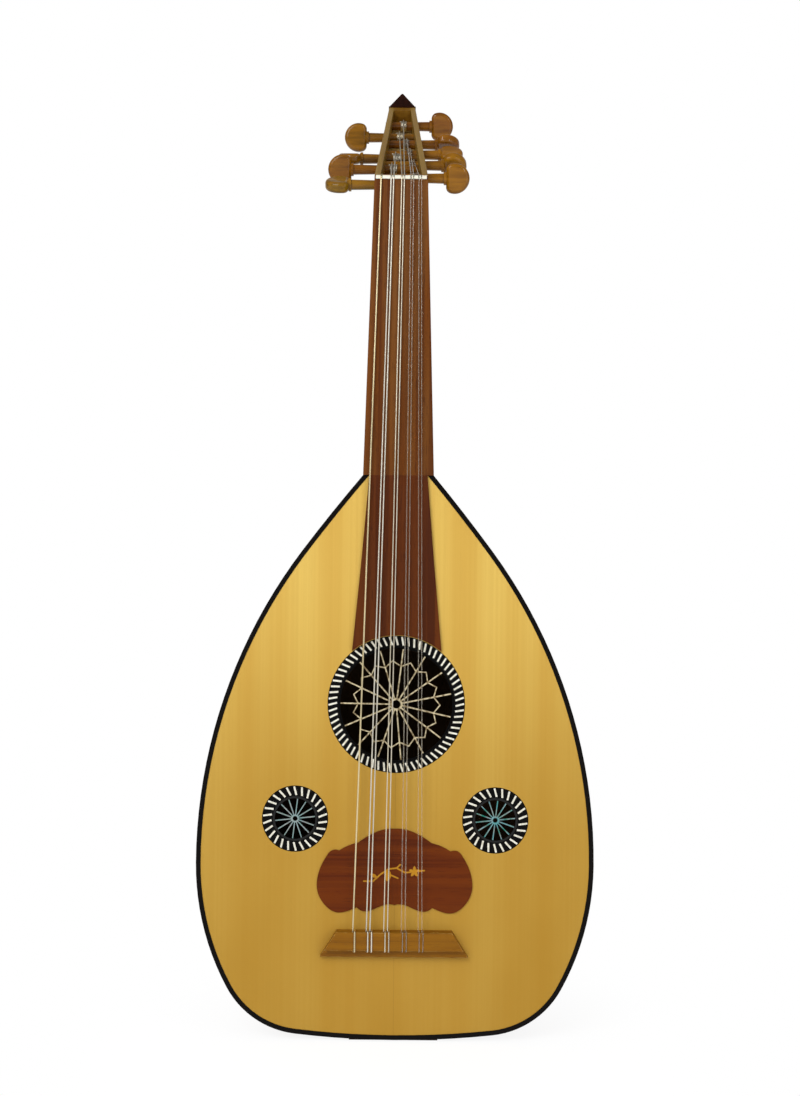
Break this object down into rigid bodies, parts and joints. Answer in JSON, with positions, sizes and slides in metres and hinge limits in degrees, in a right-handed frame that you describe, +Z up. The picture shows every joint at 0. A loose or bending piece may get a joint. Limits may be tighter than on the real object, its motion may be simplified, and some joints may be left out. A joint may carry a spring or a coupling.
{
  "type": "short-neck fretless lute",
  "caption": "Pear-shaped lute with a ribbed bowl back, inlaid rosettes, fretless neck, bent-back pegbox with turning tuning pegs, and a tied-string bridge.",
  "frame": {"origin": "on the soundboard's plane, in the middle of the nut's playing edge", "axes": "+Z up along the neck towards the pegbox, the strings face -Y, treble side +X"},
  "size_m": [0.323, 0.18, 0.8229],
  "materials": {
    "rib_dark": "satin varnish",
    "rib_light": "satin varnish",
    "peg_wood": "glossy varnish",
    "string_wound": "wound",
    "string_clear": "clear",
    "ring_black": "polished",
    "dash_white": "polished",
    "lattice_large": "ivory",
    "lattice_small": "ivory",
    "soundboard_spruce": "satin varnish",
    "edge_black": "polished",
    "brace_spruce": "raw",
    "block_wood": "raw",
    "clasp_wood": "satin varnish",
    "neck_wood": "satin varnish",
    "fingerboard_wood": "oiled",
    "nut_bone": "polished bone",
    "pegbox_wood": "satin varnish",
    "finial_wood": "polished",
    "pickguard_wood": "satin varnish",
    "inlay_wood": "satin varnish",
    "bridge_wood": "satin varnish"
  },
  "bodies": {
    "instrument": {"bridge": "bridge_wood", "edge_binding": "edge_black", "end_clasp": "clasp_wood", "fingerboard": "fingerboard_wood", "fingerboard_extension": "fingerboard_wood", "finial": "finial_wood", "neck": "neck_wood", "neck_block": "block_wood", "nut": "nut_bone", "pegbox_back": "pegbox_wood", "pegbox_cheek_left": "pegbox_wood", "pegbox_cheek_right": "pegbox_wood", "pegbox_end_block": "pegbox_wood", "pickguard": "pickguard_wood", "pickguard_inlay": "inlay_wood", "rib_01": "rib_dark", "rib_02": "rib_light", "rib_03": "rib_dark", "rib_04": "rib_light", "rib_05": "rib_dark", "rib_06": "rib_light", "rib_07": "rib_dark", "rib_08": "rib_light", "rib_09": "rib_dark", "rib_10": "rib_light", "rib_11": "rib_dark", "rib_12": "rib_light", "rib_13": "rib_dark", "rib_14": "rib_light", "rib_15": "rib_dark", "rosette_dashes_large": "dash_white", "rosette_dashes_small": "dash_white", "rosette_large": "lattice_large", "rosette_ring_large": "ring_black", "rosette_ring_small_left": "ring_black", "rosette_ring_small_right": "ring_black", "rosette_small_left": "lattice_small", "rosette_small_right": "lattice_small", "soundboard": "soundboard_spruce", "soundboard_braces": "brace_spruce", "string_01": "string_wound", "string_02": "string_wound", "string_03": "string_wound", "string_04": "string_wound", "string_05": "string_wound", "string_06": "string_clear", "string_07": "string_clear", "string_08": "string_clear", "string_09": "string_clear", "tail_block": "block_wood"},
    "peg_01_body": {"peg_01": "peg_wood"},
    "peg_02_body": {"peg_02": "peg_wood"},
    "peg_03_body": {"peg_03": "peg_wood"},
    "peg_04_body": {"peg_04": "peg_wood"},
    "peg_05_body": {"peg_05": "peg_wood"},
    "peg_06_body": {"peg_06": "peg_wood"},
    "peg_07_body": {"peg_07": "peg_wood"},
    "peg_08_body": {"peg_08": "peg_wood"},
    "peg_09_body": {"peg_09": "peg_wood"}
  },
  "joints": [
    {"name": "peg_01_turn", "type": "hinge", "parent": "instrument", "child": "peg_01_body", "pos_m": [0, 0.02096, 0.00114], "axis": [-1, 0, 0], "continuous": true},
    {"name": "peg_02_turn", "type": "hinge", "parent": "instrument", "child": "peg_02_body", "pos_m": [0, 0.03394, 0.01051], "axis": [1, 0, 0], "continuous": true},
    {"name": "peg_03_turn", "type": "hinge", "parent": "instrument", "child": "peg_03_body", "pos_m": [0, 0.04935, 0.02164], "axis": [-1, 0, 0], "continuous": true},
    {"name": "peg_04_turn", "type": "hinge", "parent": "instrument", "child": "peg_04_body", "pos_m": [0, 0.05828, 0.02807], "axis": [1, 0, 0], "continuous": true},
    {"name": "peg_05_turn", "type": "hinge", "parent": "instrument", "child": "peg_05_body", "pos_m": [0, 0.07045, 0.03685], "axis": [-1, 0, 0], "continuous": true},
    {"name": "peg_06_turn", "type": "hinge", "parent": "instrument", "child": "peg_06_body", "pos_m": [0, 0.07937, 0.0433], "axis": [1, 0, 0], "continuous": true},
    {"name": "peg_07_turn", "type": "hinge", "parent": "instrument", "child": "peg_07_body", "pos_m": [0, 0.10006, 0.05822], "axis": [1, 0, 0], "continuous": true},
    {"name": "peg_08_turn", "type": "hinge", "parent": "instrument", "child": "peg_08_body", "pos_m": [0, 0.11426, 0.06847], "axis": [-1, 0, 0], "continuous": true},
    {"name": "peg_09_turn", "type": "hinge", "parent": "instrument", "child": "peg_09_body", "pos_m": [0, 0.13941, 0.08662], "axis": [1, 0, 0], "continuous": true}
  ]
}
